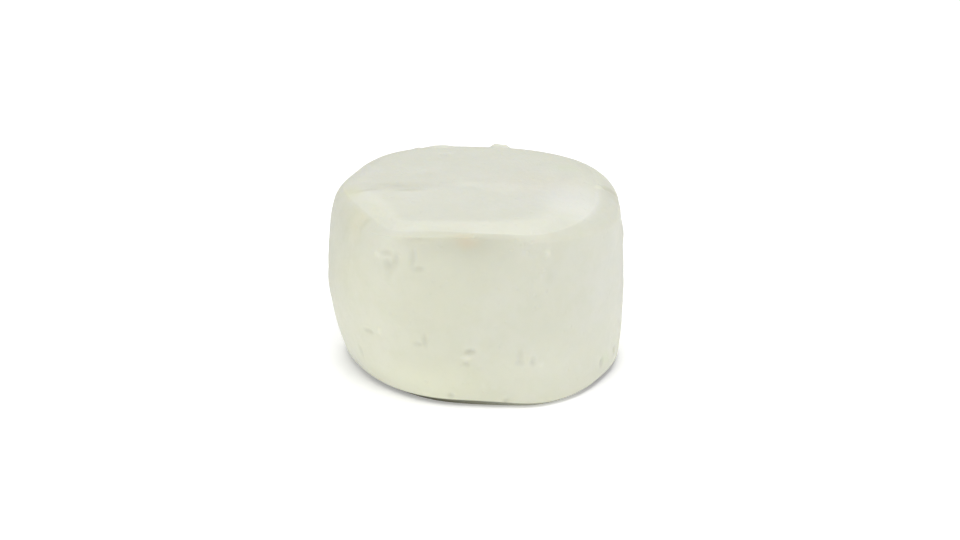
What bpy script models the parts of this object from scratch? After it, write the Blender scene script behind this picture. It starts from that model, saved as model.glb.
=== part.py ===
"""A whole wheel of ricotta salata, the white cheese that is pressed in a basket, salted and dried.

It is one solid that stands on its flat base. Its outline is a circle that the pressing and the
handling have left uneven: it bulges halfway up, draws in towards the foot, most of all on the
left, and has three soft flats, at the front and at both sides of the front. The side ends below
in a lip, under which a shallow recess runs in to the base, and above in a shoulder, wide at the
right and almost sharp at the front. A soft bevel leads from the shoulder's ridge to the level
top. Pits, lumps and a ledge lie on the skin.

Metres, +Z up, the front along -Y. The origin is under the middle of the wheel, on its base.
"""
from itertools import product
from math import pi

import bmesh
import bpy
import numpy as np

MM = 0.001

# Main sizes
HEIGHT = 113.5 * MM
CROWN = 1.5 * MM                 # how much higher the middle of the top is than its edge
BELLY_SHARE = 0.5                # height of the belly, as a share of the height

# A size that changes round the wheel is its plain value in millimetres, then its bulges: the
# bearing and half spread of each in degrees, and what it adds in millimetres.
FOOT_RADIUS = (89.5, (-148.0, 80.0, -11.0), (-62.0, 40.0, 5.5))
BELLY_RADIUS = (93.0, (-90.0, 60.0, 3.0), (20.0, 45.0, -2.0), (165.0, 40.0, -2.5))
RIM_RADIUS = (91.5, (-178.0, 55.0, -7.0), (-90.0, 75.0, 6.0), (-2.0, 35.0, -3.5),
              (122.0, 42.0, 6.0))

# Flats pressed into the side: bearing in degrees, then the distance from the middle axis in
# millimetres at the foot, the belly and the rim
FLATS = ((-94.0, 86.5, 89.0, 85.0),
         (-27.0, 95.0, 93.0, 94.0),
         (-157.0, 79.0, 92.5, 80.0))
FLAT_SOFTNESS = 2.0 * MM         # how gently a flat runs into the round outline
FLAT_END = 0.5                   # cosine of the turn away from its bearing where a flat ends

# The shoulder, from the side up to the rim's ridge, and the brim, the soft bevel from the ridge
# in to the level top
SHOULDER_WIDTH = (7.0, (-78.0, 40.0, -6.0), (-5.0, 58.0, 7.5), (145.0, 35.0, 2.5),
                  (-172.0, 38.0, -3.5))
SHOULDER_DROP = (4.0, (-8.0, 78.0, 7.0), (148.0, 48.0, 7.5), (-157.0, 40.0, 6.0))
SHOULDER_POWER = 1.6             # 1 would be a flat bevel, 2 a quarter of an ellipse
BRIM_WIDTH = (8.0, (-152.0, 68.0, 4.0), (-36.0, 75.0, 12.0))
BRIM_FALL = (1.0, (-145.0, 75.0, 1.5), (-58.0, 65.0, 3.3), (-5.0, 60.0, 0.8))
TOP_LEAN = 0.012                 # how much the top rises towards the front, for each unit

# The foot: a lip with a small rounding, and under it a recess in to the flat base
RECESS_HEIGHT = (1.0, (-150.0, 60.0, 1.8), (-92.0, 42.0, 2.6), (-22.0, 60.0, 1.8))
RECESS_DEPTH = 3.0 * MM
LIP_WIDTH = 0.9 * MM
LIP_RISE = 3.0 * MM

# Marks on the side: bearing in degrees, then height, half width, half height and amount in
# millimetres. An amount below zero is a dent, one above zero a lump.
SIDE_MARKS = (
    (-122.0, 88.5, 6.0, 5.6, -1.6),
    (-119.3, 92.5, 3.0, 6.0, -0.9),
    (-123.0, 96.0, 5.6, 3.0, -0.8),
    (-127.0, 94.0, 3.4, 3.2, 1.0),
    (-122.0, 82.5, 4.0, 3.6, -0.5),
    (-113.3, 94.0, 2.6, 9.0, -0.7),
    (-111.0, 87.4, 4.6, 2.6, -0.8),
    (-112.0, 105.2, 9.0, 2.6, -0.5),
    (-64.0, 97.5, 2.6, 3.6, 0.8),
    (-63.0, 82.0, 6.0, 8.0, -0.5),
    (-3.0, 84.0, 14.0, 11.0, 1.2),
    (-135.0, 40.3, 7.0, 2.6, -0.9),
    (-128.5, 43.0, 3.0, 3.4, 1.0),
    (-121.0, 43.0, 4.0, 7.0, -0.4),
    (-109.0, 42.8, 2.6, 7.0, -0.8),
    (-111.5, 40.4, 5.0, 2.6, -0.7),
    (-92.0, 37.0, 4.6, 2.8, -1.1),
    (-93.5, 33.0, 5.0, 2.6, 0.7),
    (-93.5, 29.0, 4.0, 2.6, -0.6),
    (-73.5, 34.5, 2.8, 6.5, -0.6),
    (-73.5, 29.6, 4.4, 2.6, -0.7),
    (-69.0, 29.8, 2.8, 4.4, -0.8),
    (-66.0, 27.8, 3.4, 3.4, 0.6),
    (-32.5, 13.0, 4.0, 4.4, -1.2),
    (-19.5, 14.0, 3.6, 4.0, -1.2),
    (-145.0, 21.0, 3.0, 7.0, -0.8),
    (-78.0, 4.0, 4.0, 3.4, -1.6),
    (-100.0, 6.5, 3.4, 3.0, -1.2),
    (-178.0, 50.0, 16.0, 12.0, 0.8),
    (-90.0, 98.0, 44.0, 14.0, -1.6),
)

# Marks on the top and the rim: place along X and Y, half width and half depth along them, and
# amount, all in millimetres
TOP_MARKS = (
    (13.0, 84.5, 5.0, 4.6, 2.6),
    (18.5, 84.2, 4.6, 4.6, 2.2),
    (-23.5, 84.0, 13.0, 6.0, 1.3),
    (-20.0, 63.0, 4.5, 5.5, -0.8),
    (-38.0, 81.0, 4.0, 5.0, 0.7),
    (81.5, 4.0, 3.6, 4.4, -1.5),
    (76.5, 1.0, 3.6, 4.4, 0.8),
    (-30.0, 20.0, 8.0, 12.0, -0.5),
    (-48.0, -4.0, 7.0, 7.0, -0.5),
    (30.0, 40.0, 22.0, 24.0, -0.5),
)

# The ledge on the left of the top: from it the top slopes down to the front left
LEDGE_PLACE = np.array((-45.0, -15.0)) * MM
LEDGE_BEARING = -94.0            # way the slope faces, in degrees
LEDGE_SLOPE = 0.08               # fall for each unit of distance
LEDGE_SOFTNESS = 0.5 * MM
LEDGE_SECTOR = (-150.0, 75.0)    # middle bearing and half spread in degrees

# Marks without a place of their own, spread over the side by a seeded draw
SCATTER_SEED = 7
SCATTER_COUNT = 34
SCATTER_HALF_SIZES = (2.6, 4.6)  # millimetres
SCATTER_AMOUNTS = (-1.3, 0.6)    # millimetres
SCATTER_HEIGHTS = (5.0, 96.0)    # millimetres
SCATTER_BEARINGS = (5.0, 175.0)  # degrees, all over the back
SCATTER_LOWNESS = 1.6            # 1 would spread them evenly, more puts them lower

# Broad unevenness of the skin: width of its swells, amount and seed of each layer
SWELLS = ((46.0 * MM, 0.9 * MM, 11),
          (19.0 * MM, 0.35 * MM, 12))
TOP_CALM = 0.75                  # share of the unevenness that the top goes without
NOISE_TABLE_SIZE = 4096
NOISE_PRIMES = (73856093, 19349663, 83492791)

# Mesh
GRID = 64                        # cells along a quarter of the outline, before thinning
FOOT_ROWS = 5
SIDE_ROWS = 40
SHOULDER_ROWS = 9
KEPT_SHARE = 0.24                # share of the triangles that thinning leaves

CHEESE_COLOUR = (0.76, 0.76, 0.64, 1.0)
CHEESE_ROUGHNESS = 0.6


def around(sizes, bearings):
    """Read a size that changes round the wheel: its plain value and its bulges."""
    plain, *bulges = sizes
    total = np.full(np.shape(bearings), plain)
    for bearing, half_spread, amount in bulges:
        turned = np.abs(np.mod(bearings - np.radians(bearing) + pi, 2 * pi) - pi)
        off = np.minimum(turned / np.radians(half_spread), 1.0)
        total = total + amount * np.cos(0.5 * pi * off) ** 2
    return total


def up_the_side(foot, belly, rim, share):
    """Run a quadratic through the values at the foot, the belly and the rim."""
    lower = (belly - foot) / BELLY_SHARE
    upper = (rim - belly) / (1 - BELLY_SHARE)
    return foot + lower * share + (upper - lower) * share * (share - BELLY_SHARE)


def outline(bearings, heights):
    """Radius of the side: the uneven round, cut softly by the flats."""
    share = heights / HEIGHT
    rings = [MM * around(radius, bearings) for radius in (FOOT_RADIUS, BELLY_RADIUS, RIM_RADIUS)]
    near = np.exp(-up_the_side(*rings, share) / FLAT_SOFTNESS)
    for bearing, *distances in FLATS:
        facing = np.cos(bearings - np.radians(bearing))
        reach = up_the_side(*(MM * distance for distance in distances), share)
        reach = reach / np.maximum(facing, FLAT_END)
        near = near + np.where(facing > FLAT_END, np.exp(-reach / FLAT_SOFTNESS), 0.0)
    return -FLAT_SOFTNESS * np.log(near)


def ledge_fall(x, y):
    """How far the top lies below its level past the ledge."""
    facing = np.radians(LEDGE_BEARING)
    past = (x - LEDGE_PLACE[0]) * np.cos(facing) + (y - LEDGE_PLACE[1]) * np.sin(facing)
    past = LEDGE_SOFTNESS * np.logaddexp(0.0, past / LEDGE_SOFTNESS)
    middle, spread = np.radians(LEDGE_SECTOR)
    off = np.abs(np.mod(np.arctan2(y, x) - middle + pi, 2 * pi) - pi) / spread
    return LEDGE_SLOPE * past * np.cos(0.5 * pi * np.minimum(off, 1.0)) ** 2


def smooth_noise(points, width, seed):
    """Noise from -1 to 1 whose swells are about width across."""
    table = np.random.default_rng(seed).uniform(-1.0, 1.0, NOISE_TABLE_SIZE)
    cell = np.floor(points / width).astype(np.int64)
    u = points / width - cell
    u = u * u * (3 - 2 * u)
    total = np.zeros(len(points))
    for corner in product((0, 1), repeat=3):
        key = ((cell + corner) * NOISE_PRIMES).sum(axis=1) % NOISE_TABLE_SIZE
        total += table[key] * np.where(corner, u, 1 - u).prod(axis=1)
    return total


def scattered_marks():
    """Side marks drawn by the seed, more of them low down, where the cheese has been handled."""
    draw = np.random.default_rng(SCATTER_SEED)
    lowest, highest = SCATTER_HEIGHTS
    marks = []
    for _ in range(SCATTER_COUNT):
        height = lowest + (highest - lowest) * draw.uniform() ** SCATTER_LOWNESS
        marks.append((draw.uniform(*SCATTER_BEARINGS), height,
                      draw.uniform(*SCATTER_HALF_SIZES), draw.uniform(*SCATTER_HALF_SIZES),
                      draw.uniform(*SCATTER_AMOUNTS)))
    return marks


def fade(across, along, half_across, half_along):
    """From 1 in the middle of a mark to 0 at its half sizes, given in millimetres."""
    off = (across / (half_across * MM)) ** 2 + (along / (half_along * MM)) ** 2
    return np.maximum(1 - off, 0.0) ** 2


def relief(points, top_share):
    """How far the skin stands out at each point; top_share is 1 on the top and 0 on the side."""
    x, y, z = points.T
    bearings = np.arctan2(y, x)
    radii = np.hypot(x, y)
    amount = sum(swell * smooth_noise(points, width, seed) for width, swell, seed in SWELLS)
    amount *= 1 - TOP_CALM * top_share
    for bearing, height, *sizes, size in (*SIDE_MARKS, *scattered_marks()):
        off = bearings - np.radians(bearing)
        here = np.where(np.cos(off) > 0, 1 - top_share, 0.0)
        amount += size * MM * here * fade(radii * np.sin(off), z - height * MM, *sizes)
    for place_x, place_y, *sizes, size in TOP_MARKS:
        here = np.sqrt(top_share)
        amount += size * MM * here * fade(x - place_x * MM, y - place_y * MM, *sizes)
    return amount


def skin(bearings, rows):
    """Points and outward ways on the foot (rows 0 to 1), the side (1 to 2), the shoulder
    (2 to 3) and the top (3 to 4, where 4 is its middle)."""
    widths, drops, brim_widths, brim_falls, recess_heights = (
        MM * around(sizes, bearings)
        for sizes in (SHOULDER_WIDTH, SHOULDER_DROP, BRIM_WIDTH, BRIM_FALL, RECESS_HEIGHT))
    side_top = HEIGHT - CROWN - brim_falls - drops
    recess, lip = np.clip(2 * rows, 0, 1), np.clip(2 * rows - 1, 0, 1)
    side, shoulder, inward = (np.clip(rows - start, 0, 1) for start in (1, 2, 3))
    recess_turn, lip_turn, shoulder_turn = 0.5 * pi * recess, 0.5 * pi * lip, 0.5 * pi * shoulder
    shoulder_out = np.maximum(np.cos(shoulder_turn), 0.0) ** (2 / SHOULDER_POWER)
    shoulder_up = np.sin(shoulder_turn) ** (2 / SHOULDER_POWER)

    heights = recess_heights * np.sin(recess_turn) + LIP_RISE * (1 - np.cos(lip_turn))
    heights = heights + (side_top - recess_heights - LIP_RISE) * side + drops * shoulder_up
    radii = outline(bearings, heights) - widths * (1 - shoulder_out)
    radii = radii - RECESS_DEPTH * np.cos(recess_turn) - LIP_WIDTH * (1 - np.sin(lip_turn))
    past_ridge = np.minimum(radii * inward / brim_widths, 1.0)
    heights = heights + brim_falls * (1 - (1 - past_ridge) ** 2) + CROWN * (1 - (1 - inward) ** 2)
    radii = radii * (1 - inward)
    x, y = radii * np.cos(bearings), radii * np.sin(bearings)
    heights = heights - ledge_fall(x, y) * np.sin(shoulder_turn)
    heights = heights * (1 - TOP_LEAN * y / HEIGHT)

    out, up = np.cos(shoulder_turn), np.sin(shoulder_turn)
    points = np.column_stack((x, y, heights))
    ways = np.column_stack((out * np.cos(bearings), out * np.sin(bearings), up))
    return points, ways, up


def formed(bearings, rows):
    """The skin with its relief, which begins at the lip: the base and the recess stay plain."""
    points, ways, top_share = skin(bearings, rows)
    amount = relief(points, top_share) * np.clip(2 * rows - 1, 0, 1)
    return points + ways * amount[:, None]


def barrel_layout():
    """Bearings and rows of every vertex, and the faces: rings up the side, a grid on the top."""
    columns = 4 * GRID
    ring_rows = np.concatenate((np.linspace(0, 1, FOOT_ROWS, endpoint=False),
                                np.linspace(1, 2, SIDE_ROWS, endpoint=False),
                                np.linspace(2, 3, SHOULDER_ROWS + 1)))
    turn = -0.25 * pi + 2 * pi * np.arange(columns) / columns
    bearings = np.tile(turn, len(ring_rows))
    rows = np.repeat(ring_rows, columns)
    faces = [(ring * columns + k, ring * columns + (k + 1) % columns,
              (ring + 1) * columns + (k + 1) % columns, (ring + 1) * columns + k)
             for ring in range(len(ring_rows) - 1) for k in range(columns)]

    # The top grid: its border is the last ring, and each square ring inside it maps to a round one
    steps = 2 * np.arange(GRID + 1) / GRID - 1
    last_ring = (len(ring_rows) - 1) * columns
    border = ([(GRID, j) for j in range(GRID)] + [(i, GRID) for i in range(GRID, 0, -1)]
              + [(0, j) for j in range(GRID, 0, -1)] + [(i, 0) for i in range(GRID)])
    index = {cell: last_ring + k for k, cell in enumerate(border)}
    top_bearings, top_rows = [], []
    for i, j in product(range(1, GRID), repeat=2):
        u, v = steps[i], steps[j]
        share = max(abs(u), abs(v))
        if abs(u) >= abs(v):
            turned = 0.25 * pi * v / u if u else 0.0
            turned += 0.0 if u >= 0 else pi
        else:
            turned = 0.5 * pi - 0.25 * pi * u / v
            turned += 0.0 if v >= 0 else pi
        index[(i, j)] = len(bearings) + len(top_bearings)
        top_bearings.append(turned)
        top_rows.append(4 - share)
    faces += [(index[(i, j)], index[(i + 1, j)], index[(i + 1, j + 1)], index[(i, j + 1)])
              for i, j in product(range(GRID), repeat=2)]
    return np.concatenate((bearings, top_bearings)), np.concatenate((rows, top_rows)), faces


def close_base(mesh):
    """Level the open edge at the foot and close it with the flat base."""
    bm = bmesh.new()
    bm.from_mesh(mesh)
    edges = [edge for edge in bm.edges if edge.is_boundary]
    for edge in edges:
        for vert in edge.verts:
            vert.co.z = 0.0
    bmesh.ops.holes_fill(bm, edges=edges, sides=len(edges))
    bmesh.ops.triangulate(bm, faces=bm.faces[:])
    bmesh.ops.recalc_face_normals(bm, faces=bm.faces[:])
    bm.to_mesh(mesh)
    bm.free()


def centre_on_origin(mesh):
    """Put the middle of the box round the wheel over the origin."""
    corners = np.array([vert.co for vert in mesh.vertices])
    middle = 0.5 * (corners.min(axis=0) + corners.max(axis=0))
    for vert in mesh.vertices:
        vert.co.x -= middle[0]
        vert.co.y -= middle[1]


def cheese_material():
    """Dry white skin with a faint cream tone."""
    material = bpy.data.materials.new("pressed_cheese")
    material.use_nodes = True
    shader = material.node_tree.nodes["Principled BSDF"]
    shader.inputs["Base Color"].default_value = CHEESE_COLOUR
    shader.inputs["Roughness"].default_value = CHEESE_ROUGHNESS
    shader.inputs["Metallic"].default_value = 0.0
    material.diffuse_color = CHEESE_COLOUR
    return material


def make_wheel():
    """The cheese: a fine skin, thinned where it is plain, then closed below."""
    bearings, rows, faces = barrel_layout()
    mesh = bpy.data.meshes.new("cheese_wheel")
    mesh.from_pydata(formed(bearings, rows).tolist(), [], faces)
    wheel = bpy.data.objects.new("cheese_wheel", mesh)
    bpy.context.scene.collection.objects.link(wheel)

    thin = wheel.modifiers.new("thin", "DECIMATE")
    thin.ratio = KEPT_SHARE
    thin.use_collapse_triangulate = True
    thinned = wheel.evaluated_get(bpy.context.evaluated_depsgraph_get())
    wheel.data = bpy.data.meshes.new_from_object(thinned)
    wheel.modifiers.clear()
    bpy.data.meshes.remove(mesh)
    wheel.data.name = "cheese_wheel"

    close_base(wheel.data)
    centre_on_origin(wheel.data)
    wheel.data.materials.append(cheese_material())
    wheel.data.shade_smooth()
    return wheel


def main():
    for obj in list(bpy.data.objects):
        bpy.data.objects.remove(obj)
    make_wheel()


main()
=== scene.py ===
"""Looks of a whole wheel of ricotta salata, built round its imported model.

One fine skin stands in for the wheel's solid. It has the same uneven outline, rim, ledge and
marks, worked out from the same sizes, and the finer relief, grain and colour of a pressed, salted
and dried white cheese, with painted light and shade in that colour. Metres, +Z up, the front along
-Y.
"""
from itertools import product
from math import cos, pi, radians, sin

import bpy
import numpy as np
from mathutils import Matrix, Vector


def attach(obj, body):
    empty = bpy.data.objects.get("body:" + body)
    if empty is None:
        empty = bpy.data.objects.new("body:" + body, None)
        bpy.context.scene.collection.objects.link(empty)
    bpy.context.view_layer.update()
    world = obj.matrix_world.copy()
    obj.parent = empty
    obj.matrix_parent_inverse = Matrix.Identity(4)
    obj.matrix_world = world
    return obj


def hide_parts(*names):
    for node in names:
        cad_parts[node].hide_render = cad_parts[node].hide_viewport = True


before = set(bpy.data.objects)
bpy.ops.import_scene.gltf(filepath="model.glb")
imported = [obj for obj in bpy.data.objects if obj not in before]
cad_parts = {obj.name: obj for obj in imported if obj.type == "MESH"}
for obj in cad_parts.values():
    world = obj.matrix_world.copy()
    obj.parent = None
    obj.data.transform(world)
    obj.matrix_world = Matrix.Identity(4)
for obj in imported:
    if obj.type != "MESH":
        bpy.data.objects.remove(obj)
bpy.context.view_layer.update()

MM = 0.001

# ---------------------------------------------------------------- the wheel's form
HEIGHT = 113.5 * MM
CROWN = 1.5 * MM                 # how much higher the middle of the top is than its edge
BELLY_SHARE = 0.5                # height of the belly, as a share of the height

# A size that changes round the wheel is its plain value in millimetres, then its bulges: the
# bearing and half spread of each in degrees, and what it adds in millimetres.
FOOT_RADIUS = (89.5, (-148.0, 80.0, -11.0), (-62.0, 40.0, 5.5))
BELLY_RADIUS = (93.0, (-90.0, 60.0, 3.0), (20.0, 45.0, -2.0), (165.0, 40.0, -2.5))
RIM_RADIUS = (91.5, (-178.0, 55.0, -7.0), (-90.0, 75.0, 6.0), (-2.0, 35.0, -3.5),
              (122.0, 42.0, 6.0))

# Flats pressed into the side: bearing in degrees, then the distance from the middle axis in
# millimetres at the foot, the belly and the rim
FLATS = ((-94.0, 86.5, 89.0, 85.0),
         (-27.0, 95.0, 93.0, 94.0),
         (-157.0, 79.0, 92.5, 80.0))
FLAT_SOFTNESS = 2.0 * MM         # how gently a flat runs into the round outline
FLAT_END = 0.5                   # cosine of the turn away from its bearing where a flat ends

# The shoulder, from the side up to the rim's ridge, and the brim, the soft bevel from the ridge
# in to the level top
SHOULDER_WIDTH = (7.0, (-78.0, 40.0, -6.0), (-5.0, 58.0, 7.5), (145.0, 35.0, 2.5),
                  (-172.0, 38.0, -3.5))
SHOULDER_DROP = (4.0, (-8.0, 78.0, 7.0), (148.0, 48.0, 7.5), (-157.0, 40.0, 6.0))
SHOULDER_POWER = 1.6             # 1 would be a flat bevel, 2 a quarter of an ellipse
BRIM_WIDTH = (8.0, (-152.0, 68.0, 4.0), (-36.0, 75.0, 12.0))
BRIM_FALL = (1.0, (-145.0, 75.0, 1.5), (-58.0, 65.0, 3.3), (-5.0, 60.0, 0.8))
TOP_LEAN = 0.012                 # how much the top rises towards the front, for each unit

# The foot: a lip with a small rounding, and under it a recess in to the flat base
RECESS_HEIGHT = (1.0, (-150.0, 60.0, 1.8), (-92.0, 42.0, 2.6), (-22.0, 60.0, 1.8))
RECESS_DEPTH = 3.0 * MM
LIP_WIDTH = 0.9 * MM
LIP_RISE = 3.0 * MM

# Marks on the side: bearing in degrees, then height, half width, half height and amount in
# millimetres. An amount below zero is a dent, one above zero a lump.
SIDE_MARKS = (
    (-122.0, 88.5, 6.0, 5.6, -1.6),
    (-119.3, 92.5, 3.0, 6.0, -0.9),
    (-123.0, 96.0, 5.6, 3.0, -0.8),
    (-127.0, 94.0, 3.4, 3.2, 1.0),
    (-122.0, 82.5, 4.0, 3.6, -0.5),
    (-113.3, 94.0, 2.6, 9.0, -0.7),
    (-111.0, 87.4, 4.6, 2.6, -0.8),
    (-112.0, 105.2, 9.0, 2.6, -0.5),
    (-64.0, 97.5, 2.6, 3.6, 0.8),
    (-63.0, 82.0, 6.0, 8.0, -0.5),
    (-3.0, 84.0, 14.0, 11.0, 1.2),
    (-135.0, 40.3, 7.0, 2.6, -0.9),
    (-128.5, 43.0, 3.0, 3.4, 1.0),
    (-121.0, 43.0, 4.0, 7.0, -0.4),
    (-109.0, 42.8, 2.6, 7.0, -0.8),
    (-111.5, 40.4, 5.0, 2.6, -0.7),
    (-92.0, 37.0, 4.6, 2.8, -1.1),
    (-93.5, 33.0, 5.0, 2.6, 0.7),
    (-93.5, 29.0, 4.0, 2.6, -0.6),
    (-73.5, 34.5, 2.8, 6.5, -0.6),
    (-73.5, 29.6, 4.4, 2.6, -0.7),
    (-69.0, 29.8, 2.8, 4.4, -0.8),
    (-66.0, 27.8, 3.4, 3.4, 0.6),
    (-32.5, 13.0, 4.0, 4.4, -1.2),
    (-19.5, 14.0, 3.6, 4.0, -1.2),
    (-145.0, 21.0, 3.0, 7.0, -0.8),
    (-78.0, 4.0, 4.0, 3.4, -1.6),
    (-100.0, 6.5, 3.4, 3.0, -1.2),
    (-178.0, 50.0, 16.0, 12.0, 0.8),
    (-90.0, 98.0, 44.0, 14.0, -1.6),
)

# Marks on the top and the rim: place along X and Y, half width and half depth along them, and
# amount, all in millimetres
TOP_MARKS = (
    (13.0, 84.5, 5.0, 4.6, 2.6),
    (18.5, 84.2, 4.6, 4.6, 2.2),
    (-23.5, 84.0, 13.0, 6.0, 1.3),
    (-20.0, 63.0, 4.5, 5.5, -0.8),
    (-38.0, 81.0, 4.0, 5.0, 0.7),
    (81.5, 4.0, 3.6, 4.4, -1.5),
    (76.5, 1.0, 3.6, 4.4, 0.8),
    (-30.0, 20.0, 8.0, 12.0, -0.5),
    (-48.0, -4.0, 7.0, 7.0, -0.5),
    (30.0, 40.0, 22.0, 24.0, -0.5),
)

# The ledge on the left of the top: from it the top slopes down to the front left
LEDGE_PLACE = np.array((-45.0, -15.0)) * MM
LEDGE_BEARING = -94.0            # way the slope faces, in degrees
LEDGE_SLOPE = 0.08               # fall for each unit of distance
LEDGE_SOFTNESS = 0.5 * MM
LEDGE_SECTOR = (-150.0, 75.0)    # middle bearing and half spread in degrees

# Marks without a place of their own, spread over the side by a seeded draw
SCATTER_SEED = 7
SCATTER_COUNT = 34
SCATTER_HALF_SIZES = (2.6, 4.6)  # millimetres
SCATTER_AMOUNTS = (-1.3, 0.6)    # millimetres
SCATTER_HEIGHTS = (5.0, 96.0)    # millimetres
SCATTER_BEARINGS = (5.0, 175.0)  # degrees, all over the back
SCATTER_LOWNESS = 1.6            # 1 would spread them evenly, more puts them lower

# Unevenness of the skin: width of its swells, amount and seed of each layer. The first two are
# the solid's own, the others are finer.
SWELLS = ((46.0 * MM, 0.9 * MM, 11),
          (19.0 * MM, 0.35 * MM, 12),
          (8.0 * MM, 0.14 * MM, 13),
          (3.4 * MM, 0.07 * MM, 14))
TOP_CALM = 0.75                  # share of the unevenness that the top goes without
NOISE_TABLE_SIZE = 4096
NOISE_PRIMES = (73856093, 19349663, 83492791)

# Tints of the skin: what each adds to red, green and blue at full strength. The lightening tint is
# used only as painted light, and with a strength below zero as painted shade; the darkening tint is
# painted shade where so marked.
TINTS = {"painted_brightness": np.array((0.060, 0.060, 0.060)),
         "cream": np.array((0.0, 0.0, -0.10)),
         "rosy": np.array((0.03, -0.01, -0.03)),
         "green": np.array((-0.04, 0.0, -0.08)),
         "darkening": np.array((-0.15, -0.16, -0.21))}
TINT_WANDER = 3.0 * MM           # how far the edge of a patch wanders
WANDER_WIDTH = 12.0 * MM         # how wide its swings are
WANDER_SEEDS = (31, 32, 33)      # along X, Y and Z

# Share of painted highlight on the brim, the bevel from the ridge in to the top where the light and
# the sheen fall, written like a size that changes round the wheel
BRIM_PAINTED_HIGHLIGHT = (0.0, (-132.0, 85.0, 0.95), (-48.0, 80.0, 0.9))

# How much painted shade darkens the recess under the foot, as a share and written in the same way
RECESS_PAINTED_SHADE = (0.5, (180.0, 30.0, -0.2), (-125.0, 60.0, 0.4), (-60.0, 30.0, -0.2),
                   (-28.0, 35.0, 0.45))

# Where a tint begins and is full, in rows of the skin, and across the brim as a share of its width
TOP_EDGE_ROWS = (2.6, 2.95)
BRIM_EDGE_ROWS = (2.8, 2.95)
BRIM_INNER_EDGE = (0.75, 1.2)
LIP_EDGE_ROWS = (0.45, 0.75)

# How much painted shade darkens a dent and painted light lightens a lump, for each unit of its amount
# over its half size, and the most of it
MARK_PAINTED_LIGHT = 0.22
MARK_PAINTED_LIGHT_LIMIT = 0.08

# Patches on the side: tint, bearing in degrees, height, half width and half height in
# millimetres, and strength
SIDE_PATCHES = (
    ("cream", -125.0, 55.0, 110.0, 75.0, 0.40),
    ("cream", -100.0, 10.0, 95.0, 32.0, 0.40),
    # painted light: the right side made less cream and greyer, standing in for the cooler light it
    # reflects
    ("cream", -20.0, 70.0, 60.0, 70.0, -0.45),
    ("cream", -145.0, 75.0, 26.0, 36.0, 0.35),
    # painted light: the next three lighten the low front left, the middle of the left side and the
    # low front right, where more light falls from the floor and from the left
    ("painted_brightness", -118.0, 10.0, 60.0, 26.0, 1.30),
    ("painted_brightness", -132.0, 58.0, 32.0, 62.0, 0.45),
    ("painted_brightness", -62.0, 24.0, 40.0, 30.0, 0.70),
    # painted shade: the next two darken the side just under the front rim, where its shade falls
    ("darkening", -96.0, 104.0, 44.0, 14.0, 0.42),
    ("darkening", -87.0, 94.0, 30.0, 26.0, 0.20),
    ("rosy", -94.0, 104.0, 13.0, 8.5, 1.80),
    ("green", -28.5, 14.0, 6.0, 6.0, 0.80),
    ("darkening", -141.0, 104.8, 5.0, 7.0, 0.40),
    # painted shade: darker under the left of the rim, where less light falls
    ("darkening", -158.0, 99.0, 15.0, 18.0, 0.25),
    ("rosy", -147.0, 101.0, 12.0, 15.0, 0.55),
    # painted shade: the next two darken the right rim's notch and the side under it, where less light
    # falls
    ("darkening", 2.5, 106.0, 6.0, 6.0, 0.80),
    ("darkening", -4.0, 98.0, 10.0, 18.0, 0.25),
    ("cream", -150.0, 102.0, 22.0, 14.0, 0.60),
    # painted shade: the next two darken the left and right sides towards the outline
    ("painted_brightness", -176.0, 66.0, 34.0, 70.0, -1.20),
    ("painted_brightness", -2.0, 60.0, 36.0, 80.0, -1.20),
)

# Patches on the top: tint, place along X and Y, half width and half depth in millimetres, strength
TOP_PATCHES = (
    ("cream", 0.0, 0.0, 150.0, 150.0, -0.25),
    # painted highlight: lighter front right of the top, where the sheen falls
    ("painted_brightness", 66.0, -30.0, 34.0, 50.0, 0.90),
    # painted shade: the next three darken the top behind the ledge and along its line
    ("darkening", -50.0, -7.0, 46.0, 12.0, 0.42),
    ("darkening", -68.0, -12.5, 13.0, 3.6, 0.60),
    ("darkening", -40.0, -15.5, 14.0, 3.6, 0.60),
    # painted shade: darkens a spot of the top where a swell catches the light
    ("painted_brightness", 8.0, -10.5, 22.0, 9.0, -0.50),
    ("rosy", 38.0, 0.0, 44.0, 34.0, 0.40),
    # painted highlight: the next two whiten the front right of the top and lighten its rim there, as
    # the sheen does
    ("cream", 60.0, -34.0, 40.0, 44.0, -0.75),
    ("painted_brightness", 62.0, -50.0, 26.0, 26.0, 0.50),
    ("cream", -58.0, -50.0, 30.0, 34.0, 0.35),
    ("green", 57.0, 33.0, 14.0, 12.0, 0.60),
    ("cream", -78.0, -14.0, 12.0, 14.0, 0.90),
    ("cream", -72.0, 26.0, 16.0, 16.0, -0.60),
)

# The skin's own colours: two that its blotches swing between, and one in its clouds
PLAIN_TONE = (0.657, 0.663, 0.558, 1.0)
PALE_TONE = (0.664, 0.669, 0.576, 1.0)
CLOUD_TONE = (0.650, 0.657, 0.553, 1.0)

# Patterns in the skin: how many of each fit in a metre
BLOTCHES = 26.0
PIT_CLUSTERS = 60.0
CLOUDS = 75.0
PITS = 170.0
CURDS = 210.0
GRAINS = 900.0

# Mesh
GRID = 150                       # cells along a quarter of the outline
FRONT_SHARE = 0.3                # how much closer together they lie at the front
FOOT_ROWS = 8
SIDE_ROWS = 100
SHOULDER_ROWS = 14

# ---------------------------------------------------------------- stage, lights, camera
VIEW_ELEVATION = 20.3            # degrees above the floor
VIEW_DISTANCE = 1.3
VIEW_TARGET = Vector((0.0025, 0.0, 0.0549))
PIXELS_PER_METRE = 1592.0        # at the middle of the wheel
IMAGE_WIDTH = 960
SENSOR_WIDTH = 36.0              # millimetres

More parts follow.
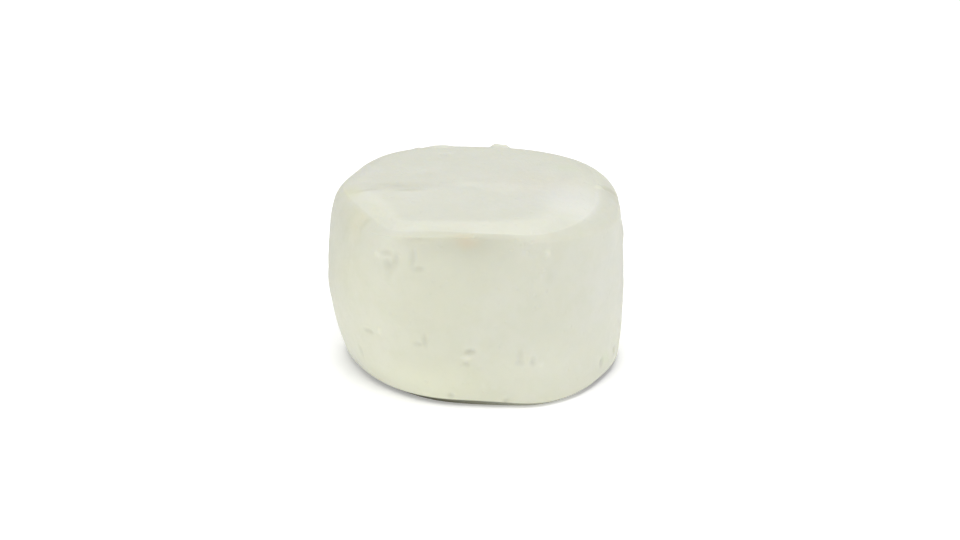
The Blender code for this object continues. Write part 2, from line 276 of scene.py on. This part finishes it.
# Square soft lights: bearing and elevation in degrees, distance and size in metres, power in watts
LIGHTS = {"overhead": (-90.0, 80.0, 3.2, 2.2, 69.0),
          "left": (180.0, 40.0, 2.2, 1.2, 1.5),
          "front_left": (225.0, 12.0, 2.2, 1.2, 14.0),
          "front_right": (315.0, 12.0, 2.2, 1.2, 6.0),
          "right": (0.0, 12.0, 2.2, 1.2, 11.0),
          "back": (90.0, 42.0, 2.2, 1.2, 8.5)}
WORLD_STRENGTH = 0.24
WHITE = (1.0, 1.0, 1.0, 1.0)
FLOOR_COLOUR = (0.93, 0.93, 0.93, 1.0)
FLOOR_GLOW = 0.22                # keeps the floor close to the white of the ground round it
FLOOR_REACH = 4.0
FLOOR_DROP = 0.0003              # how far the floor lies below the base


def around(sizes, bearings):
    """Read a size that changes round the wheel: its plain value and its bulges."""
    plain, *bulges = sizes
    total = np.full(np.shape(bearings), plain)
    for bearing, half_spread, amount in bulges:
        turned = np.abs(np.mod(bearings - np.radians(bearing) + pi, 2 * pi) - pi)
        off = np.minimum(turned / np.radians(half_spread), 1.0)
        total = total + amount * np.cos(0.5 * pi * off) ** 2
    return total


def up_the_side(foot, belly, rim, share):
    """Run a quadratic through the values at the foot, the belly and the rim."""
    lower = (belly - foot) / BELLY_SHARE
    upper = (rim - belly) / (1 - BELLY_SHARE)
    return foot + lower * share + (upper - lower) * share * (share - BELLY_SHARE)


def outline(bearings, heights):
    """Radius of the side: the uneven round, cut softly by the flats."""
    share = heights / HEIGHT
    rings = [MM * around(radius, bearings) for radius in (FOOT_RADIUS, BELLY_RADIUS, RIM_RADIUS)]
    near = np.exp(-up_the_side(*rings, share) / FLAT_SOFTNESS)
    for bearing, *distances in FLATS:
        facing = np.cos(bearings - np.radians(bearing))
        reach = up_the_side(*(MM * distance for distance in distances), share)
        reach = reach / np.maximum(facing, FLAT_END)
        near = near + np.where(facing > FLAT_END, np.exp(-reach / FLAT_SOFTNESS), 0.0)
    return -FLAT_SOFTNESS * np.log(near)


def ledge_fall(x, y):
    """How far the top lies below its level past the ledge."""
    facing = np.radians(LEDGE_BEARING)
    past = (x - LEDGE_PLACE[0]) * np.cos(facing) + (y - LEDGE_PLACE[1]) * np.sin(facing)
    past = LEDGE_SOFTNESS * np.logaddexp(0.0, past / LEDGE_SOFTNESS)
    middle, spread = np.radians(LEDGE_SECTOR)
    off = np.abs(np.mod(np.arctan2(y, x) - middle + pi, 2 * pi) - pi) / spread
    return LEDGE_SLOPE * past * np.cos(0.5 * pi * np.minimum(off, 1.0)) ** 2


def smooth_noise(points, width, seed):
    """Noise from -1 to 1 whose swells are about width across."""
    table = np.random.default_rng(seed).uniform(-1.0, 1.0, NOISE_TABLE_SIZE)
    cell = np.floor(points / width).astype(np.int64)
    u = points / width - cell
    u = u * u * (3 - 2 * u)
    total = np.zeros(len(points))
    for corner in product((0, 1), repeat=3):
        key = ((cell + corner) * NOISE_PRIMES).sum(axis=1) % NOISE_TABLE_SIZE
        total += table[key] * np.where(corner, u, 1 - u).prod(axis=1)
    return total


def scattered_marks():
    """Side marks drawn by the seed, more of them low down, where the cheese has been handled."""
    draw = np.random.default_rng(SCATTER_SEED)
    lowest, highest = SCATTER_HEIGHTS
    marks = []
    for _ in range(SCATTER_COUNT):
        height = lowest + (highest - lowest) * draw.uniform() ** SCATTER_LOWNESS
        marks.append((draw.uniform(*SCATTER_BEARINGS), height,
                      draw.uniform(*SCATTER_HALF_SIZES), draw.uniform(*SCATTER_HALF_SIZES),
                      draw.uniform(*SCATTER_AMOUNTS)))
    return marks


def fade(across, along, half_across, half_along):
    """From 1 in the middle of a mark to 0 at its half sizes, given in millimetres."""
    off = (across / (half_across * MM)) ** 2 + (along / (half_along * MM)) ** 2
    return np.maximum(1 - off, 0.0) ** 2


def relief(points, top_share):
    """How far the skin stands out at each point; top_share is 1 on the top and 0 on the side."""
    x, y, z = points.T
    bearings = np.arctan2(y, x)
    radii = np.hypot(x, y)
    amount = sum(swell * smooth_noise(points, width, seed) for width, swell, seed in SWELLS)
    amount *= 1 - TOP_CALM * top_share
    for bearing, height, *sizes, size in (*SIDE_MARKS, *scattered_marks()):
        off = bearings - np.radians(bearing)
        here = np.where(np.cos(off) > 0, 1 - top_share, 0.0)
        amount += size * MM * here * fade(radii * np.sin(off), z - height * MM, *sizes)
    for place_x, place_y, *sizes, size in TOP_MARKS:
        here = np.sqrt(top_share)
        amount += size * MM * here * fade(x - place_x * MM, y - place_y * MM, *sizes)
    return amount


def skin(bearings, rows):
    """Points and outward ways on the foot (rows 0 to 1), the side (1 to 2), the shoulder
    (2 to 3) and the top (3 to 4, where 4 is its middle)."""
    widths, drops, brim_widths, brim_falls, recess_heights = (
        MM * around(sizes, bearings)
        for sizes in (SHOULDER_WIDTH, SHOULDER_DROP, BRIM_WIDTH, BRIM_FALL, RECESS_HEIGHT))
    side_top = HEIGHT - CROWN - brim_falls - drops
    recess, lip = np.clip(2 * rows, 0, 1), np.clip(2 * rows - 1, 0, 1)
    side, shoulder, inward = (np.clip(rows - start, 0, 1) for start in (1, 2, 3))
    recess_turn, lip_turn, shoulder_turn = 0.5 * pi * recess, 0.5 * pi * lip, 0.5 * pi * shoulder
    shoulder_out = np.maximum(np.cos(shoulder_turn), 0.0) ** (2 / SHOULDER_POWER)
    shoulder_up = np.sin(shoulder_turn) ** (2 / SHOULDER_POWER)

    heights = recess_heights * np.sin(recess_turn) + LIP_RISE * (1 - np.cos(lip_turn))
    heights = heights + (side_top - recess_heights - LIP_RISE) * side + drops * shoulder_up
    radii = outline(bearings, heights) - widths * (1 - shoulder_out)
    radii = radii - RECESS_DEPTH * np.cos(recess_turn) - LIP_WIDTH * (1 - np.sin(lip_turn))
    past_ridge = np.minimum(radii * inward / brim_widths, 1.0)
    heights = heights + brim_falls * (1 - (1 - past_ridge) ** 2) + CROWN * (1 - (1 - inward) ** 2)
    radii = radii * (1 - inward)
    x, y = radii * np.cos(bearings), radii * np.sin(bearings)
    heights = heights - ledge_fall(x, y) * np.sin(shoulder_turn)
    heights = heights * (1 - TOP_LEAN * y / HEIGHT)

    out, up = np.cos(shoulder_turn), np.sin(shoulder_turn)
    points = np.column_stack((x, y, heights))
    ways = np.column_stack((out * np.cos(bearings), out * np.sin(bearings), up))
    return points, ways, up


def formed(bearings, rows):
    """The skin with its relief, which begins at the lip: the base and the recess stay plain."""
    points, ways, top_share = skin(bearings, rows)
    amount = relief(points, top_share) * np.clip(2 * rows - 1, 0, 1)
    return points + ways * amount[:, None]


def barrel_layout():
    """Bearings and rows of every vertex, and the faces: rings up the side, a grid on the top,
    and one flat face below."""
    columns = 4 * GRID
    ring_rows = np.concatenate((np.linspace(0, 1, FOOT_ROWS, endpoint=False),
                                np.linspace(1, 2, SIDE_ROWS, endpoint=False),
                                np.linspace(2, 3, SHOULDER_ROWS + 1)))
    turn = -0.25 * pi + 2 * pi * np.arange(columns) / columns
    bearings = np.tile(turn, len(ring_rows))
    rows = np.repeat(ring_rows, columns)
    faces = [(ring * columns + k, ring * columns + (k + 1) % columns,
              (ring + 1) * columns + (k + 1) % columns, (ring + 1) * columns + k)
             for ring in range(len(ring_rows) - 1) for k in range(columns)]
    faces.append(tuple(reversed(range(columns))))

    # The top grid: its border is the last ring, and each square ring inside it maps to a round one
    steps = 2 * np.arange(GRID + 1) / GRID - 1
    last_ring = (len(ring_rows) - 1) * columns
    border = ([(GRID, j) for j in range(GRID)] + [(i, GRID) for i in range(GRID, 0, -1)]
              + [(0, j) for j in range(GRID, 0, -1)] + [(i, 0) for i in range(GRID)])
    index = {cell: last_ring + k for k, cell in enumerate(border)}
    top_bearings, top_rows = [], []
    for i, j in product(range(1, GRID), repeat=2):
        u, v = steps[i], steps[j]
        share = max(abs(u), abs(v))
        if abs(u) >= abs(v):
            turned = 0.25 * pi * v / u if u else 0.0
            turned += 0.0 if u >= 0 else pi
        else:
            turned = 0.5 * pi - 0.25 * pi * u / v
            turned += 0.0 if v >= 0 else pi
        index[(i, j)] = len(bearings) + len(top_bearings)
        top_bearings.append(turned)
        top_rows.append(4 - share)
    faces += [(index[(i, j)], index[(i + 1, j)], index[(i + 1, j + 1)], index[(i, j + 1)])
              for i, j in product(range(GRID), repeat=2)]
    return np.concatenate((bearings, top_bearings)), np.concatenate((rows, top_rows)), faces


def step(low, high, values):
    """From 0 at low to 1 at high, smoothly."""
    share = np.clip((values - low) / (high - low), 0.0, 1.0)
    return share * share * (3 - 2 * share)


def marks_painted_light(points, on_side, on_top):
    """Painted light on the lumps and painted shade in the dents: how much lighter or darker they are
    than the skin round them.
    """
    x, y, z = points.T
    bearings, radii = np.arctan2(y, x), np.hypot(x, y)
    tint = np.zeros(len(points))

    def strength(sizes, size):
        return np.clip(MARK_PAINTED_LIGHT * size / min(sizes), -MARK_PAINTED_LIGHT_LIMIT, MARK_PAINTED_LIGHT_LIMIT)

    for bearing, height, *sizes, size in (*SIDE_MARKS, *scattered_marks()):
        off = bearings - np.radians(bearing)
        here = np.where(np.cos(off) > 0, strength(sizes, size) * on_side, 0.0)
        tint += here * fade(radii * np.sin(off), z - height * MM, *sizes)
    for place_x, place_y, *sizes, size in TOP_MARKS:
        here = strength(sizes, size) * on_top
        tint += here * fade(x - place_x * MM, y - place_y * MM, *sizes)
    return tint


def tinted(points, bearings, rows):
    """What the patches, the painted highlight on the brim, the painted shade in the recess and the
    painted light and shade of the marks leave of red, green and blue at each point.
    """
    wander = np.column_stack([TINT_WANDER * smooth_noise(points, WANDER_WIDTH, seed)
                              for seed in WANDER_SEEDS])
    x, y, z = (points + wander).T
    radii = np.hypot(x, y)
    turned = np.arctan2(y, x)
    on_top = step(*TOP_EDGE_ROWS, rows)
    on_side = 1 - on_top
    tint = np.ones((len(points), 3))

    # painted highlight: the brim is lightened where its bevel catches the light
    past_ridge = radii * np.clip(rows - 3, 0, 1) / (MM * around(BRIM_WIDTH, bearings))
    brim = step(*BRIM_EDGE_ROWS, rows) * (1 - step(*BRIM_INNER_EDGE, past_ridge))
    tint += (brim * around(BRIM_PAINTED_HIGHLIGHT, bearings))[:, None] * TINTS["painted_brightness"]
    # painted shade: the recess under the lip is darkened as its shade would darken it
    recess_shade_mask = 1 - step(*LIP_EDGE_ROWS, rows)
    tint -= (recess_shade_mask * around(RECESS_PAINTED_SHADE, bearings))[:, None]
    # painted light on the lumps and painted shade in the dents
    tint += marks_painted_light(points, on_side, on_top)[:, None]
    for name, bearing, height, *sizes, strength in SIDE_PATCHES:
        off = turned - np.radians(bearing)
        here = np.where(np.cos(off) > 0, strength * on_side, 0.0)
        here = here * fade(radii * np.sin(off), z - height * MM, *sizes)
        tint += here[:, None] * TINTS[name]
    for name, place_x, place_y, *sizes, strength in TOP_PATCHES:
        here = strength * on_top * fade(x - place_x * MM, y - place_y * MM, *sizes)
        tint += here[:, None] * TINTS[name]
    return tint


def make_skin():
    """The wheel's visible skin, centred over the origin as the solid is."""
    bearings, rows, faces = barrel_layout()
    bearings = bearings - FRONT_SHARE * np.cos(bearings)
    points = formed(bearings, rows)
    tints = tinted(points, bearings, rows)
    points[:, :2] -= 0.5 * (points[:, :2].min(axis=0) + points[:, :2].max(axis=0))
    mesh = bpy.data.meshes.new("cheese_skin")
    mesh.from_pydata(points.tolist(), [], faces)
    mesh.shade_smooth()
    tint = mesh.attributes.new("tint", "FLOAT_COLOR", "POINT")
    tint.data.foreach_set("color", np.column_stack((tints, np.ones(len(tints)))).ravel())
    piece = bpy.data.objects.new("cheese_skin", mesh)
    bpy.context.scene.collection.objects.link(piece)
    return piece


# ---------------------------------------------------------------- material
class Nodes:
    """Short ways to add shader nodes to one material."""

    def __init__(self, name):
        self.material = bpy.data.materials.new(name)
        self.material.use_nodes = True
        self.tree = self.material.node_tree
        self.shader = self.tree.nodes["Principled BSDF"]

    def add(self, kind, inputs=None, **settings):
        node = self.tree.nodes.new(kind)
        for key, value in settings.items():
            setattr(node, key, value)
        for key, value in (inputs or {}).items():
            self.feed(node.inputs[key], value)
        return node

    def feed(self, socket, value):
        if isinstance(value, bpy.types.NodeSocket):
            self.tree.links.new(value, socket)
        else:
            socket.default_value = value


def cheese_material():
    """Dry white skin with a faint cream tone: blotches, fine grain, small pits, soft light in it."""
    nodes = Nodes("pressed_cheese")
    place = nodes.add("ShaderNodeTexCoord").outputs["Object"]

    def noise(scale, detail, roughness=0.5):
        return nodes.add("ShaderNodeTexNoise", {"Vector": place, "Scale": scale, "Detail": detail,
                                                "Roughness": roughness}).outputs["Fac"]

    def spread(value, low, high, out_low=0.0, out_high=1.0):
        return nodes.add("ShaderNodeMapRange", {"Value": value, "From Min": low, "From Max": high,
                                                "To Min": out_low, "To Max": out_high},
                         interpolation_type="SMOOTHSTEP").outputs["Result"]

    def mix(share, first, second, blend="MIX"):
        node = nodes.add("ShaderNodeMix", {"Factor": share}, data_type="RGBA", blend_type=blend)
        nodes.feed(node.inputs["A"], first)
        nodes.feed(node.inputs["B"], second)
        return node.outputs["Result"]

    blotch = spread(noise(BLOTCHES, 3.0), 0.38, 0.62)
    cloud = spread(noise(CLOUDS, 4.0, 0.6), 0.40, 0.64)
    tone = mix(cloud, mix(blotch, PLAIN_TONE, PALE_TONE), CLOUD_TONE)
    # the tint holds the skin's colour patches and also painted light and shade: the brim's highlight,
    # shade in the recess, under the rim and by the ledge, and the light and shade of the marks
    tint = nodes.add("ShaderNodeAttribute", attribute_name="tint").outputs["Color"]
    nodes.feed(nodes.shader.inputs["Base Color"], mix(1.0, tone, tint, "MULTIPLY"))

    grain = noise(GRAINS, 3.0, 0.6)
    curd = noise(CURDS, 4.0, 0.55)
    cell = nodes.add("ShaderNodeTexVoronoi", {"Vector": place, "Scale": PITS}).outputs["Distance"]
    closed = spread(noise(PIT_CLUSTERS, 2.0), 0.42, 0.56)
    pits = nodes.add("ShaderNodeMath", {0: spread(cell, 0.06, 0.26), 1: closed},
                     operation="MAXIMUM").outputs["Value"]
    fine = nodes.add("ShaderNodeBump", {"Height": grain, "Strength": 0.35, "Distance": 0.0002})
    pitted = nodes.add("ShaderNodeBump", {"Height": pits, "Strength": 0.5, "Distance": 0.0004,
                                          "Normal": fine.outputs["Normal"]})
    bump = nodes.add("ShaderNodeBump", {"Height": curd, "Strength": 0.45, "Distance": 0.0007,
                                        "Normal": pitted.outputs["Normal"]})
    nodes.feed(nodes.shader.inputs["Normal"], bump.outputs["Normal"])
    nodes.feed(nodes.shader.inputs["Roughness"], spread(curd, 0.3, 0.7, 0.45, 0.6))
    nodes.shader.inputs["Specular IOR Level"].default_value = 0.3
    nodes.shader.inputs["Subsurface Weight"].default_value = 0.35
    nodes.shader.inputs["Subsurface Radius"].default_value = (1.0, 0.8, 0.45)
    nodes.shader.inputs["Subsurface Scale"].default_value = 0.006
    return nodes.material


def floor_material():
    """Matt white that glows a little, so that the shadow on it stays light."""
    nodes = Nodes("floor_white")
    nodes.shader.inputs["Base Color"].default_value = FLOOR_COLOUR
    nodes.shader.inputs["Roughness"].default_value = 0.9
    nodes.shader.inputs["Specular IOR Level"].default_value = 0.0
    nodes.shader.inputs["Emission Color"].default_value = WHITE
    nodes.shader.inputs["Emission Strength"].default_value = FLOOR_GLOW
    return nodes.material


# ---------------------------------------------------------------- stage
def make_floor():
    """One plain square, just below the base."""
    corners = [(x * FLOOR_REACH, y * FLOOR_REACH, 0) for x, y in ((-1, -1), (1, -1), (1, 1), (-1, 1))]
    mesh = bpy.data.meshes.new("floor")
    mesh.from_pydata(corners, [], [(0, 1, 2, 3)])
    floor = bpy.data.objects.new("floor", mesh)
    floor.location.z = -FLOOR_DROP
    floor.data.materials.append(floor_material())
    bpy.context.scene.collection.objects.link(floor)


def aim(obj, target):
    """Turn a light or a camera so that it looks at the target."""
    obj.rotation_euler = (Vector(target) - obj.location).to_track_quat("-Z", "Y").to_euler()


def softbox(name, bearing, elevation, distance, size, power):
    """A square soft white light on a sphere round the wheel, aimed at the wheel's middle."""
    light = bpy.data.lights.new(name, "AREA")
    light.size = size
    light.energy = power
    lamp = bpy.data.objects.new(name, light)
    turn, rise = radians(bearing), radians(elevation)
    lamp.location = distance * Vector((cos(rise) * cos(turn), cos(rise) * sin(turn), sin(rise)))
    aim(lamp, (0, 0, 0.5 * HEIGHT))
    bpy.context.scene.collection.objects.link(lamp)


def light_scene():
    """A white surround and the soft lights."""
    scene = bpy.context.scene
    world = bpy.data.worlds.new("studio")
    world.use_nodes = True
    background = world.node_tree.nodes["Background"]
    background.inputs["Color"].default_value = WHITE
    background.inputs["Strength"].default_value = WORLD_STRENGTH
    scene.world = world
    for name, placing in LIGHTS.items():
        softbox(name, *placing)
    scene.view_settings.view_transform = "Standard"
    scene.view_settings.look = "None"


def place_camera():
    """Look from the front and above, with the lens that gives the wheel its size in the image."""
    camera = bpy.data.objects.new("camera", bpy.data.cameras.new("camera"))
    rise = radians(VIEW_ELEVATION)
    camera.location = VIEW_TARGET + VIEW_DISTANCE * Vector((0, -cos(rise), sin(rise)))
    aim(camera, VIEW_TARGET)
    camera.data.sensor_width = SENSOR_WIDTH
    camera.data.lens = SENSOR_WIDTH * PIXELS_PER_METRE * VIEW_DISTANCE / IMAGE_WIDTH
    bpy.context.scene.collection.objects.link(camera)
    bpy.context.scene.camera = camera


place_camera()
make_floor()
light_scene()

wheel = make_skin()
wheel.data.materials.append(cheese_material())
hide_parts("cheese_wheel")
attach(wheel, "root")
